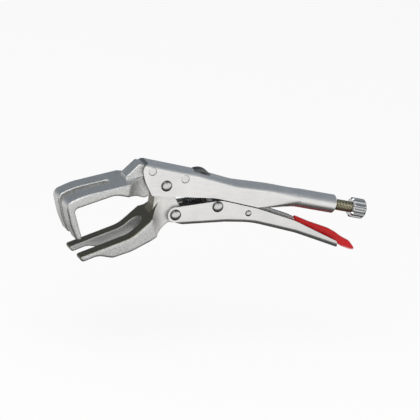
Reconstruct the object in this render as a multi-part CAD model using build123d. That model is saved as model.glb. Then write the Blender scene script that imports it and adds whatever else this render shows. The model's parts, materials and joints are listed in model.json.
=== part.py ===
from build123d import *
import math
import os

# Locking pliers with U-shaped welding jaws, locked, standing on the lower jaw's
# prongs and the tip of the release lever. Millimetres. The plane of the tool is XZ:
# X runs from the jaws to the knob, Z is up. All places are measured from the jaw
# pivot, and the finished pieces are moved together onto the standing surface.

# Jaws
JAW_WIDTH = 38.0            # across both arms
UPPER_GAP = 7.5             # between the fixed jaw's tines
LOWER_GAP = 16.0            # between the lower jaw's arms
UPPER_CROTCH_X = -50.5      # end of the gap between the tines
LOWER_CROTCH_S = -27.5      # end of the gap between the arms, along the arms
ARM_SLOPE = 20.8            # degrees, rise of the lower arms towards the hinge
UPPER_FLARE_X = -16.0       # where the fixed jaw's shank starts to widen
LOWER_FLARE_S = -4.0        # where the hinge plate starts to widen, along the arms
UPPER_FLARE_RADIUS = 26.0
LOWER_FLARE_RADIUS = 20.0
SHOULDER_RADIUS = 5.0
FORGED_BEVEL = 1.3          # bevel of the arms' outer edges
HINGE_BOSS_RADIUS = 10.0    # lower jaw's plate round the jaw pivot
EYE_BOSS_RADIUS = 8.4       # lower jaw's plate round the handle pivot
BOSS_CLEAR = 0.4            # between the hinge boss and the fixed jaw's shank

# Sheet steel channels
CHANNEL_GAP = 14.0          # inside width of both handles
SHEET = 2.5
BEND_RADIUS = 4.5           # outside radius of the bends
PLATE_CLEAR = 0.3           # each side, moving plates inside the channels
HANDLE_GAP = 1.0            # between the edges of the two handles

# Pivots: the jaw pivot is the origin of the layout
HANDLE_PIVOT = Vector(11.9, 0, -27.5)
LINK_PIVOT = Vector(51.4, 0, -20.5)
LEVER_PIVOT = Vector(81.6, 0, -27.3)
JAW_PIN_DIA = 7.0
HANDLE_PIN_DIA = 6.0
LINK_PIN_DIA = 6.0
LEVER_PIN_DIA = 3.6
RUN_CLEAR = 0.05            # radial, pins in turning pieces and the screw in its tube
HEAD_DIA = 10.0
HEAD_HEIGHT = 2.4
LEVER_HEAD_DIA = 5.6
LEVER_HEAD_HEIGHT = 1.3
FLUSH_RIVET_DIA = 7.6
FLUSH_RIVETS = {"front": Vector(-14.8, 0, 13.7), "rear": Vector(17.2, 0, 6.0)}

# Adjusting screw and the tube that it turns in
SCREW_DIA = 10.0
SCREW_SLOPE = 10.65         # degrees, fall towards the knob
TUBE_END = Vector(166.8, 0, -23.6)
TUBE_DIA = 16.6
TUBE_LENGTH = 36.0          # full round stretch
TUBE_CHAMFER = 1.2
SEAM_WIDTH = 2.0            # open seam under the tube
SEAM_LEAD = 16.0            # seam ahead of the round stretch
SKIRT_OPEN = 6.0            # how far below the skirt the hollow starts to close
BORE_LEDGE = 0.15           # flat round the start of the bore
SCREW_EXPOSED = 16.5        # between the tube and the knob
SCREW_INSIDE = 44.0         # from the tube's end to the screw's tip
SCREW_LEAD = 2.0            # bore ahead of the screw's tip
KNOB_DIA = 18.0
KNOB_LENGTH = 15.0
KNOB_DOME = 4.0             # height of the domed end
KNOB_CHAMFER = 1.5
KNOB_SOCKET = 8.0           # depth of the screw in the knob
KNOB_FLUTES = 12
FLUTE_WIDTH = 2.8           # at the knob's rim
FLUTE_FLOOR = 1.3           # at the bottom of a flute
FLUTE_SINK = 0.9            # depth of the flutes
KNOB_LEDGE = 0.5            # flat at both ends inside the flutes

# Toggle link
LINK_WIDTH = 6.5            # of the bar, the eye fills the handle
LINK_EYE_RADIUS = 5.4
LINK_HEIGHT = 7.0
LINK_NOSE = 3.2             # rounding of the end at the screw
LINK_END_GAP = 4.8          # open pivot of the linkage, to the screw's tip

# Release lever and its sleeve
LEVER_THICK = 3.0
LEVER_EYE_RADIUS = 3.8
SLEEVE_THICK = 6.2
SLEEVE_COAT = 1.2           # vinyl above and below the plate
SLEEVE_BEVEL = 1.1

# Opening spring
SPRING_WIRE = 1.0
SPRING_DIA = 6.4            # outside
SPRING_TURNS = 6
SPRING_PITCH = 4.4
SPRING_RING_RADIUS = 2.1    # front hook, to the middle of the wire
SPRING_RING_START = 60.0    # degrees, open end of the front hook above the wire's line
SPRING_RING_END = 270.0     # degrees, where the front hook runs out along the wire's line
SPRING_LEG = 2.4            # straight run between front hook and coil
SPRING_LEAD = 2.2           # from the straight run to the coil's start
SPRING_LEAD_TURN = 0.125    # share of a turn taken up by the bend into the coil
SPRING_HOOK = Vector(19.7, 0, -18.5)
SPRING_TAB_X = 66.4
SPRING_TAB_DROP = 6.5       # below the inside of the roof
SPRING_TAB_WIDTH = 3.0
SPRING_TAB_SEAT = 4.2       # depth below the inside of the roof where the wire hooks on
SPRING_HOOK_CLEAR = 0.5     # from the rear hook to the corners of its tab
SPRING_HOOK_SIDE = 0.4      # from the rear hook's straight runs to the sides of its tab
SPRING_HOOK_END = 2.5       # straight end of the rear hook
TONGUE_WIDTH = 5.0
TONGUE_THICK = 1.8
TONGUE_HOLE_DIA = 2.6
TONGUE_BAR = 1.6            # between the hole and the tongue's end

# Raised bridge lanced out of the roof
BRIDGE_X = 34.8
BRIDGE_LENGTH = 17.5
BRIDGE_HEIGHT = 3.4
BRIDGE_WIDTH = 7.0

# Outlines seen from the side: X, Z and corner radius, from the jaw pivot
ROOF = [(-25.8, 22.7, 0.0), (30.0, 10.8, 90.0), (66.4, 0.4, 70.0)]
FRAME_BACK_X = 92.4         # where the channel starts to turn into the tube
FRAME_EDGE = [(-12.6, -9.3, 3.0), (48.4, -12.4, 50.0), (89.4, -21.9, 0.0)]
FRAME_FRONT = (-22.0, 6.5, 45.0)
FRAME_NOSE_RADIUS = 6.0     # round upper front corner of the cheeks
TINE = [
    (-10.0, 12.4, 0.0), (-33.6, 6.8, 0.0), (-80.5, -4.0, 50.0), (-97.2, -11.6, 7.0),
    (-90.2, -32.5, 60.0), (-82.6, -46.8, 2.2), (-77.4, -45.8, 2.2), (-88.4, -17.6, 3.5),
    (-50.5, -4.8, 18.0), (-27.5, -9.0, 0.0), (-18.3, -11.9, 2.0), (-10.0, -7.0, 0.0),
]
FIXED_SHANK_FRONT = [(-18.3, -11.9, 2.0), (-27.5, -9.0, 0.0), (-38.5, -6.3, 0.0), (-38.5, 8.5, 0.0)]
FIXED_SHANK_NOSE_X = -26.9
FIXED_SHANK_BACK_X = 27.0
FIXED_SHANK_EDGE_Z = 1.5
FIXED_SHANK_ROUND = 2.0
ARM = [
    (-79.0, -62.6, 2.0), (-74.6, -67.2, 2.2), (-60.8, -61.6, 16.0), (-46.5, -63.8, 6.0),
    (-30.4, -58.6, 40.0), (-11.1, -48.3, 80.0), (7.0, -35.0, 0.0), (9.0, -17.0, 0.0),
    (-4.6, -14.6, 3.0), (-11.0, -25.6, 20.0), (-30.6, -44.3, 30.0),
]
HINGE_PLATE = [
    (-9.4, -3.0, 0.0), (9.9, -1.4, 0.0), (10.7, -11.8, 4.0), (15.3, -19.1, 4.0),
    (20.2, -27.0, 0.0), (8.0, -35.0, 0.0), (-6.0, -42.0, 0.0), (-14.0, -32.0, 0.0), (-9.5, -20.0, 0.0),
]
HANDLE_EYE_RADIUS = 7.2
HANDLE_WEB_FRONT = 10.6     # behind the handle pivot
HANDLE_TOP_REAR = [(127.4, -35.3, 60.0), (170.8, -55.9, 2.0)]
HANDLE_UNDER_FRAME = [(54.4, 22.0), (89.4, 60.0)]  # X and corner radius below the frame's edge
HANDLE_BOTTOM = [(172.0, -62.4, 0.0), (130.4, -48.0, 90.0), (86.0, -37.0, 90.0), (61.0, -36.2, 0.0)]
HANDLE_HEEL_Z = -37.8       # underside at the front end of the web

# Release lever from its own pivot: the plate ahead of the sleeve, then the tail's
# middle line with half its height over the sleeve
LEVER_TOP = [(-4.5, 2.4, 2.0), (5.0, 4.2, 8.0), (14.0, 4.2, 8.0), (20.2, 2.0, 20.0), (34.3, -3.4, 40.0)]
LEVER_LOW = [(20.0, -2.6, 30.0), (5.0, -4.0, 8.0), (-4.5, -2.4, 2.0)]
TAIL = [
    (48.5, -9.2, 2.8, 1.3), (64.0, -15.8, 3.1, 60.0), (83.3, -23.3, 4.0, 25.0), (90.4, -27.5, 4.4, 14.0),
    (97.0, -31.8, 4.2, 14.0), (104.7, -35.2, 3.7, 5.0), (109.6, -38.6, 1.3, 1.2),
]


def outline(corners):
    """Closed face in the XY plane through corners of X, Y and rounding radius."""
    trims = []
    for i, (x, y, radius) in enumerate(corners):
        here = Vector(x, y)
        before = (Vector(*corners[i - 1][:2]) - here).normalized()
        after = (Vector(*corners[(i + 1) % len(corners)][:2]) - here).normalized()
        half = math.radians(before.get_angle(after)) / 2
        cut = radius / math.tan(half)
        bisector = (before + after).normalized()
        middle = here + bisector * (radius / math.sin(half) - radius)
        trims.append((here + before * cut, middle, here + after * cut, radius))
    edges = []
    for i, (start, middle, end, radius) in enumerate(trims):
        if radius > 0:
            edges.append(Edge.make_three_point_arc(start, middle, end))
        edges.append(Edge.make_line(end, trims[(i + 1) % len(trims)][0]))
    return Face(Wire(edges))


def side(corners):
    """Face of an outline seen from the side, on the tool's middle plane."""
    return outline(corners).moved(Plane.XZ.location)


def slab(face, width):
    """Plate of a width, centred on the middle plane."""
    return extrude(face, amount=width / 2, both=True)


def bevelled_slab(face, width, bevel):
    """Plate of a width with a bevel round both of its sides."""
    body = slab(face, width)
    beside = [e for e in body.edges() if abs(abs(e.position_at(0.5).Y) - width / 2) < EDGE_MATCH]
    return chamfer(beside, bevel)


def cross_pin(centre, diameter, length):
    """Round bar across the tool."""
    place = Plane(origin=(centre.X, 0, centre.Z), z_dir=(0, 1, 0)).location
    return Cylinder(diameter / 2, length).moved(place)


def flatted(spots, sides):
    """Solid on the Z axis with flats round it, through places of radius and height."""
    body = Part()
    for (low_radius, low), (high_radius, high) in zip(spots, spots[1:]):
        draw_in = (low_radius - high_radius) * math.cos(math.pi / sides)
        slope = math.degrees(math.atan2(draw_in, high - low))
        section = RegularPolygon(low_radius, sides).face().moved(Location((0, 0, low)))
        body += extrude(section, amount=high - low, taper=slope)
    return body


def domed(radius, base, height, sides):
    """Domed end on the Z axis, from the height of its rim up."""
    ball = (radius**2 + height**2) / (2 * height)
    turn = math.asin(radius / ball)
    angles = [turn * (1 - i / DOME_STEPS) for i in range(DOME_STEPS)]
    spots = [(ball * math.sin(a), base + height - ball * (1 - math.cos(a))) for a in angles]
    return flatted(spots + [(spots[-1][0] / 2, base + height)], sides)


def rivet(centre, pin_dia, span, head_dia, head_height):
    """Rivet across the tool with a domed head at each end."""
    head = domed(head_dia / 2, span / 2, head_height, HEAD_SIDES)
    whole = Cylinder(pin_dia / 2, span) + head + head.rotate(Axis.X, 180)
    return whole.moved(Plane(origin=(centre.X, 0, centre.Z), z_dir=(0, 1, 0)).location)


def line_z(points, x):
    """Height of a polyline at X, carried on past its ends."""
    last = len(points) - 2
    i = next((k for k in range(last) if x < points[k + 1][0]), last)
    (x0, z0), (x1, z1) = points[i][:2], points[i + 1][:2]
    return z0 + (z1 - z0) * (x - x0) / (x1 - x0)


def depth_to_line(start, up, line):
    """Distance straight down from a point to a line through two points, seen from the side."""
    (x0, z0), (x1, z1) = line[0][:2], line[1][:2]
    across = (start.X - x0) * (z1 - z0) - (start.Z - z0) * (x1 - x0)
    return across / (up.X * (z1 - z0) - up.Z * (x1 - x0))


# Places that follow from the sizes above
OUTER_WIDTH = CHANNEL_GAP + 2 * SHEET
PLATE_WIDTH = CHANNEL_GAP - 2 * PLATE_CLEAR
SCREW_DIR = Vector(math.cos(math.radians(SCREW_SLOPE)), 0, -math.sin(math.radians(SCREW_SLOPE)))
SCREW_TIP = TUBE_END - SCREW_DIR * SCREW_INSIDE
TUBE_START = TUBE_END - SCREW_DIR * TUBE_LENGTH
TUBE_TOP = TUBE_START + Vector(SCREW_DIR.Z * -1, 0, SCREW_DIR.X) * (TUBE_DIA / 2)
ROOF_LINE = ROOF + [(TUBE_TOP.X, TUBE_TOP.Z, 0.0)]
ROOF_INSIDE = [(x, z - SHEET, r) for x, z, r in ROOF_LINE]
ROOF_WAY = Vector(TUBE_TOP.X - ROOF[-1][0], 0, TUBE_TOP.Z - ROOF[-1][1]).normalized()
BACK_UP = Vector(-ROOF_WAY.Z, 0, ROOF_WAY.X)
BACK_TOP = Vector(FRAME_BACK_X, 0, line_z(ROOF_LINE, FRAME_BACK_X))
BACK_INSIDE = SHEET * ROOF_WAY.X
BACK_DEPTH = depth_to_line(BACK_TOP, BACK_UP, FRAME_EDGE[-2:])
FORE = Vector(math.cos(math.radians(ARM_SLOPE)), 0, math.sin(math.radians(ARM_SLOPE)))
SPRING_HOOK_INSIDE = SPRING_TAB_WIDTH / 2 + SPRING_HOOK_SIDE
SPRING_HOOK_RADIUS = SPRING_HOOK_INSIDE + SPRING_WIRE / 2
SPRING_SEAT = Vector(SPRING_TAB_X, 0, line_z(ROOF_INSIDE, SPRING_TAB_X) - SPRING_TAB_SEAT)
FAR = 250.0                 # reach of cutting tools past the solids
EDGE_MATCH = 0.001          # how close an edge lies to its slab's side
LINE_MATCH = 0.8            # how close a rounded edge lies to its line of corners
ROUND_LEAST = 0.2           # least corner radius and least flat of a blended section
GAP_STEP = 0.3              # spacing of the points that measure the spring's gaps
GAP_APART = 3               # wire diameters along the wire between two points of a gap
ARCS_A_TURN = 2             # pairs of arcs in one turn of the coil
WIRE_SIDES = 6              # flats round the spring's wire
DOME_STEPS = 2              # slopes from the rim of a domed end to the one round its top
HEAD_SIDES = 16             # flats round a rivet's head
CORNER_FLATS = 4            # flats round a corner of the section that turns into the tube


def edges_beside(solid, offset, line):
    """Edges of a slab at a sideways offset that run along a line of points."""
    found = []
    for edge in solid.edges():
        ends = [edge.position_at(share) for share in (0, 0.5, 1)]
        beside = all(abs(abs(p.Y) - offset) < EDGE_MATCH for p in ends)
        along = all(abs(p.Z - line_z(line, p.X)) < LINE_MATCH for p in ends)
        if beside and along:
            found.append(edge)
    return found


def screw_plane(along):
    """Plane square to the screw, at a distance behind the tube's end."""
    spot = TUBE_END + SCREW_DIR * along
    return Plane(origin=spot, x_dir=(0, 1, 0), z_dir=SCREW_DIR)


def corner_flats(x, y, radius, start):
    """Points of the flats that stand for a section's rounded corner, from a direction in degrees on."""
    middle = math.radians(start + 45)
    centre_x = x - math.copysign(radius, math.cos(middle))
    centre_y = y - math.copysign(radius, math.sin(middle))
    angles = [math.radians(start + 90 * i / CORNER_FLATS) for i in range(CORNER_FLATS + 1)]
    return [(centre_x + radius * math.cos(a), centre_y + radius * math.sin(a)) for a in angles]


def channel_section(plane, width, low, high, radius, low_radius):
    """Points of a section across a channel with flatted corners, between two heights on its plane."""
    half = width / 2
    points = corner_flats(-half, low, low_radius, 180) + corner_flats(half, low, low_radius, 270)
    points += corner_flats(half, high, radius, 0) + corner_flats(-half, high, radius, 90)
    return [plane.from_local_coords(point) for point in points]


def square_section(plane, width, low, high):
    """Points of a section across a channel's hollow, between two heights on its plane."""
    half = width / 2
    points = [(-half, low), (half, low), (half, high), (-half, high)]
    return [plane.from_local_coords(point) for point in points]


def flat_loft(first, second):
    """Solid with flat faces between two sections of as many points."""
    faces = [Face(Wire.make_polygon(first)), Face(Wire.make_polygon(second))]
    for i in range(len(first)):
        faces.append(Face(Wire.make_polygon([first[i - 1], first[i], second[i]])))
        faces.append(Face(Wire.make_polygon([first[i - 1], second[i], second[i - 1]])))
    return Solid(Shell(faces))


def frame_plane():
    """Plane across the frame, square to its roof, where the channel ends."""
    return Plane(origin=BACK_TOP, x_dir=(0, 1, 0), z_dir=ROOF_WAY)


def back_edge(top, depth):
    """Corners of the channel's back end, from a depth below the roof to a lower one."""
    spots = [BACK_TOP - BACK_UP * down for down in (top, depth)]
    return [(spot.X, spot.Z, 0.0) for spot in spots]


def tube_blend():
    """Loft from the channel's section into the round start of the tube."""
    radius = TUBE_DIA / 2
    channel = channel_section(frame_plane(), OUTER_WIDTH, -BACK_DEPTH, 0, BEND_RADIUS, ROUND_LEAST)
    nearly_round = radius - ROUND_LEAST
    tube = channel_section(screw_plane(-TUBE_LENGTH), TUBE_DIA, -radius, radius, nearly_round, nearly_round)
    return flat_loft(channel, tube)


def hollow_blend(bore):
    """Loft from the channel's hollow to the start of the bore."""
    channel = square_section(frame_plane(), CHANNEL_GAP, -BACK_DEPTH - SKIRT_OPEN, -BACK_INSIDE)
    reach = bore / 2 + BORE_LEDGE
    tube = square_section(screw_plane(-TUBE_LENGTH), 2 * reach, -reach, reach)
    return flat_loft(channel, tube)


def frame_outline(nose_radius):
    """Outline of the frame's channel, with a radius at its upper front corner."""
    nose = (*ROOF[0][:2], nose_radius)
    return side([nose] + ROOF[1:] + back_edge(0, BACK_DEPTH) + FRAME_EDGE[1::-1] + [FRAME_FRONT])


def upper_handle():
    body = slab(frame_outline(0.0), OUTER_WIDTH)
    body = fillet(edges_beside(body, OUTER_WIDTH / 2, ROOF_LINE), BEND_RADIUS)
    body = body & slab(frame_outline(FRAME_NOSE_RADIUS), OUTER_WIDTH)
    body += tube_blend()
    tube = Cylinder(TUBE_DIA / 2, TUBE_LENGTH, align=(Align.CENTER, Align.CENTER, Align.MAX))
    tube = chamfer(tube.edges().sort_by(Axis.Z)[-1], TUBE_CHAMFER)
    body += tube.moved(screw_plane(0).location)

    front = [(-FAR, -FAR, 0.0), (-FAR, line_z(ROOF_INSIDE, -FAR), 0.0)]
    body -= slab(side(front + ROOF_INSIDE[1:-1] + back_edge(BACK_INSIDE, FAR)), CHANNEL_GAP)
    bore = SCREW_DIA + 2 * RUN_CLEAR
    body -= hollow_blend(bore)
    body -= Cylinder(bore / 2, 2 * (SCREW_INSIDE + SCREW_LEAD)).moved(screw_plane(0).location)
    seam = Box(SEAM_WIDTH, TUBE_DIA, TUBE_LENGTH + SEAM_LEAD, align=(Align.CENTER, Align.MAX, Align.MAX))
    body -= seam.moved(screw_plane(0).location)

    window = Box(BRIDGE_LENGTH, BRIDGE_WIDTH, FAR, align=(Align.CENTER, Align.CENTER, Align.MIN))
    body -= window.moved(Location((BRIDGE_X, 0, 0)))
    body += roof_bridge()
    tab_low = SPRING_SEAT.Z + SPRING_TAB_SEAT - SPRING_TAB_DROP
    tab = Box(SHEET, SPRING_TAB_WIDTH, SPRING_TAB_DROP + SHEET / 2, align=(Align.CENTER, Align.CENTER, Align.MIN))
    body += tab.moved(Location((SPRING_TAB_X, 0, tab_low)))
    body -= cross_pin(Vector(0, 0, 0), JAW_PIN_DIA, FAR)
    for spot in FLUSH_RIVETS.values():
        body -= cross_pin(spot, FLUSH_RIVET_DIA, FAR)
    return body


def roof_bridge():
    """Arched strip lanced up out of the roof, over its window."""
    down = Vector(0, 0, -SHEET)
    spots = [BRIDGE_X - BRIDGE_LENGTH / 2, BRIDGE_X, BRIDGE_X + BRIDGE_LENGTH / 2]
    front, crown, rear = [Vector(x, 0, line_z(ROOF_LINE, x)) for x in spots]
    crown += Vector(0, 0, BRIDGE_HEIGHT)
    arch = Face(Wire([
        Edge.make_three_point_arc(front, crown, rear),
        Edge.make_line(rear, rear + down),
        Edge.make_three_point_arc(rear + down, crown + down, front + down),
        Edge.make_line(front + down, front),
    ]))
    return slab(arch, BRIDGE_WIDTH)


def plan_flare(start, radius, plane, shank_width, gap, crotch):
    """Plan of a jaw: two arms with a gap, drawn in to the width of its shank."""
    half, shank = JAW_WIDTH / 2, shank_width / 2
    turn = math.acos((radius - half + shank) / radius)
    shoulder = start - radius * math.sin(turn)
    middle = Vector(start - radius * math.sin(turn / 2), shank + radius * (1 - math.cos(turn / 2)))
    halves = [
        Edge.make_line((FAR, 0), (FAR, shank)),
        Edge.make_line((FAR, shank), (start, shank)),
        Edge.make_three_point_arc((start, shank), middle, (shoulder, half)),
        Edge.make_line((shoulder, half), (-FAR, half)),
        Edge.make_line((-FAR, half), (-FAR, 0)),
        Edge.make_line((-FAR, 0), (FAR, 0)),
    ]
    solid = extrude(Face(Wire(halves)), amount=FAR, both=True)
    solid = fillet(
        [e for e in solid.edges().filter_by(Axis.Z) if abs(e.position_at(0.5).X - shoulder) < EDGE_MATCH],
        SHOULDER_RADIUS,
    )
    solid += mirror(solid, Plane.XZ)
    slot = Box(FAR, gap, 2 * FAR, align=(Align.MAX, Align.CENTER, Align.CENTER)) + Cylinder(gap / 2, 2 * FAR)
    solid -= slot.moved(Location((crotch - gap / 2, 0, 0)))
    return solid.moved(plane.location)


def fixed_jaw():
    tines = bevelled_slab(side(TINE), JAW_WIDTH, FORGED_BEVEL)
    tines = tines & plan_flare(UPPER_FLARE_X, UPPER_FLARE_RADIUS, Plane.XY, CHANNEL_GAP, UPPER_GAP, UPPER_CROTCH_X)
    tines -= slab(frame_outline(FRAME_NOSE_RADIUS), JAW_WIDTH)
    top = [(x, line_z(ROOF_INSIDE, x), 0.0) for x in (FIXED_SHANK_NOSE_X, FIXED_SHANK_BACK_X)]
    edge = [
        (FIXED_SHANK_BACK_X, FIXED_SHANK_EDGE_Z, FIXED_SHANK_ROUND),
        (HINGE_BOSS_RADIUS, FIXED_SHANK_EDGE_Z, 0.0), (-HINGE_BOSS_RADIUS, -FIXED_SHANK_EDGE_Z, 0.0),
    ]
    body = tines + slab(side(top + edge + FIXED_SHANK_FRONT), CHANNEL_GAP)
    body -= cross_pin(Vector(0, 0, 0), 2 * (HINGE_BOSS_RADIUS + BOSS_CLEAR), FAR)
    for spot in FLUSH_RIVETS.values():
        body -= cross_pin(spot, FLUSH_RIVET_DIA, FAR)
    return body


def arm_plane():
    """Plane along the lower arms, through the jaw pivot."""
    return Plane(origin=(0, 0, 0), x_dir=FORE, z_dir=(-FORE.Z, 0, FORE.X))


def lower_jaw():
    arms = bevelled_slab(side(ARM), JAW_WIDTH, FORGED_BEVEL)
    arms = arms & plan_flare(LOWER_FLARE_S, LOWER_FLARE_RADIUS, arm_plane(), PLATE_WIDTH, LOWER_GAP, LOWER_CROTCH_S)
    body = arms + slab(side(HINGE_PLATE), PLATE_WIDTH)
    body += cross_pin(Vector(0, 0, 0), 2 * HINGE_BOSS_RADIUS, PLATE_WIDTH)
    body += cross_pin(HANDLE_PIVOT, 2 * EYE_BOSS_RADIUS, PLATE_WIDTH)
    body += spring_tongue()
    body -= cross_pin(Vector(0, 0, 0), JAW_PIN_DIA + 2 * RUN_CLEAR, FAR)
    body -= cross_pin(HANDLE_PIVOT, HANDLE_PIN_DIA + 2 * RUN_CLEAR, FAR)
    return body


def spring_tongue():
    """Tongue behind the hinge plate with a hole for the spring's front hook."""
    tip_x = SPRING_HOOK.X + TONGUE_BAR / 2
    hole_x = SPRING_HOOK.X - TONGUE_BAR / 2 - TONGUE_HOLE_DIA / 2
    tongue = Box(tip_x - HANDLE_PIVOT.X, TONGUE_WIDTH, TONGUE_THICK, align=(Align.MAX, Align.CENTER, Align.CENTER))
    tongue = tongue.moved(Location((tip_x, 0, SPRING_HOOK.Z)))
    return tongue - Cylinder(TONGUE_HOLE_DIA / 2, 2 * TONGUE_THICK).moved(Location((hole_x, 0, SPRING_HOOK.Z)))


def lower_handle():
    eye_top = (HANDLE_PIVOT.X, HANDLE_PIVOT.Z + HANDLE_EYE_RADIUS, 0.0)
    eye_low = (HANDLE_PIVOT.X, HANDLE_PIVOT.Z - HANDLE_EYE_RADIUS, 0.0)
    heel = (HANDLE_PIVOT.X + HANDLE_WEB_FRONT, HANDLE_HEEL_Z, 0.0)
    top = [(x, line_z(FRAME_EDGE, x) - HANDLE_GAP, r) for x, r in HANDLE_UNDER_FRAME]
    bottom = HANDLE_BOTTOM + [heel]
    body = slab(side([eye_top] + top + HANDLE_TOP_REAR + bottom + [eye_low]), OUTER_WIDTH)
    body = fillet(edges_beside(body, OUTER_WIDTH / 2, bottom[::-1]), BEND_RADIUS)
    body += cross_pin(HANDLE_PIVOT, 2 * HANDLE_EYE_RADIUS, OUTER_WIDTH)

    floor = [(x, z + SHEET, r) for x, z, r in bottom]
    ends = [(x, line_z(floor[::-1], x), 0.0) for x in (FAR, -FAR)]
    floor = [ends[0]] + floor[1:-1] + [ends[1]]
    body -= slab(side([(-FAR, FAR, 0.0), (FAR, FAR, 0.0)] + floor), CHANNEL_GAP)
    open_front = Box(FAR, CHANNEL_GAP, FAR, align=(Align.MAX, Align.CENTER, Align.CENTER))
    body -= open_front.moved(Location((heel[0], 0, HANDLE_HEEL_Z)))
    for spot, diameter in (
        (HANDLE_PIVOT, HANDLE_PIN_DIA), (LINK_PIVOT, LINK_PIN_DIA), (LEVER_PIVOT, LEVER_PIN_DIA),
    ):
        body -= cross_pin(spot, diameter, FAR)
    return body


def toggle_link():
    reach = SCREW_TIP - LINK_PIVOT
    along = reach.normalized()
    length = reach.length - LINK_END_GAP
    half = LINK_HEIGHT / 2
    bar = outline([(0, -half, 0.0), (length, -half, LINK_NOSE), (length, half, LINK_NOSE), (0, half, 0.0)])
    eye = Circle(LINK_EYE_RADIUS).face()
    plane = Plane(origin=LINK_PIVOT, x_dir=along, z_dir=(0, -1, 0))
    body = slab(bar.moved(plane.location), LINK_WIDTH) + slab(eye.moved(plane.location), PLATE_WIDTH)
    return body - cross_pin(LINK_PIVOT, LINK_PIN_DIA + 2 * RUN_CLEAR, FAR)


def tail_outline(coat):
    """Corners of the lever's tail, drawn in by a coat, from the lever's pivot."""
    upper = [(x, z + half - coat, r) for x, z, half, r in TAIL]
    lower = [(x, z - half + coat, r) for x, z, half, r in TAIL]
    return upper, lower[::-1]


def from_lever(corners):
    """Outline face of corners measured from the lever's pivot."""
    return side([(LEVER_PIVOT.X + x, LEVER_PIVOT.Z + z, r) for x, z, r in corners])


def lever_plate():
    """Flat plate of the release lever, from its eye to the tip inside the sleeve."""
    upper, lower = tail_outline(SLEEVE_COAT)
    return slab(from_lever(LEVER_TOP + upper[1:-1] + lever_tip() + lower[1:-1] + LEVER_LOW), LEVER_THICK)


def lever_tip():
    """Rounded end of the plate, inside the sleeve's tip."""
    x, z = TAIL[-1][0] - SLEEVE_COAT, TAIL[-1][1] + SLEEVE_COAT
    return [(x, z, SLEEVE_COAT / 2)]


def release_lever():
    body = lever_plate() + cross_pin(LEVER_PIVOT, 2 * LEVER_EYE_RADIUS, PLATE_WIDTH)
    return body - cross_pin(LEVER_PIVOT, LEVER_PIN_DIA + 2 * RUN_CLEAR, FAR)


def lever_sleeve():
    upper, lower = tail_outline(0.0)
    return bevelled_slab(from_lever(upper + lower), SLEEVE_THICK, SLEEVE_BEVEL) - lever_plate()


def adjusting_screw():
    length = SCREW_INSIDE + SCREW_EXPOSED + KNOB_SOCKET
    rod = Cylinder(SCREW_DIA / 2, length, align=(Align.CENTER, Align.CENTER, Align.MIN))
    return rod.moved(screw_plane(-SCREW_INSIDE).location)


def fluted_section(radius):
    """Section across the knob with its flutes, in the XY plane."""
    root = radius - FLUTE_SINK
    open_half, floor_half = FLUTE_WIDTH / 2 / radius, FLUTE_FLOOR / 2 / root
    corners = []
    for i in range(KNOB_FLUTES):
        turn = 2 * math.pi * i / KNOB_FLUTES
        for reach, offset in ((radius, -open_half), (root, -floor_half), (root, floor_half), (radius, open_half)):
            corners.append((reach * math.cos(turn + offset), reach * math.sin(turn + offset)))
    return Face(Wire.make_polygon(corners))


def adjusting_knob():
    radius = KNOB_DIA / 2
    wall = KNOB_LENGTH - KNOB_DOME
    end = radius - FLUTE_SINK - KNOB_LEDGE
    knob = extrude(fluted_section(radius), amount=wall - KNOB_CHAMFER).moved(Location((0, 0, KNOB_CHAMFER)))
    knob += flatted([(end - KNOB_CHAMFER, 0), (end, KNOB_CHAMFER)], 2 * KNOB_FLUTES)
    knob += domed(end, wall, KNOB_DOME, 2 * KNOB_FLUTES)
    socket_radius = SCREW_DIA / 2 + RUN_CLEAR
    knob -= Cylinder(socket_radius, 2 * (KNOB_SOCKET + RUN_CLEAR))
    return knob.moved(screw_plane(SCREW_EXPOSED).location)


def biarc(start, start_way, end, end_way):
    """Two arcs that join two points and follow both directions."""
    chord = end - start
    ways = start_way + end_way
    spread = 2 * (1 - start_way.dot(end_way))
    reach = (math.sqrt(chord.dot(ways) ** 2 + spread * chord.dot(chord)) - chord.dot(ways)) / spread
    first, second = start + start_way * reach, end - end_way * reach
    joint = (first + second) * 0.5
    return [
        Edge.make_tangent_arc(start, start_way, joint),
        Edge.make_tangent_arc(joint, (second - first).normalized(), end),
    ]


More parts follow.
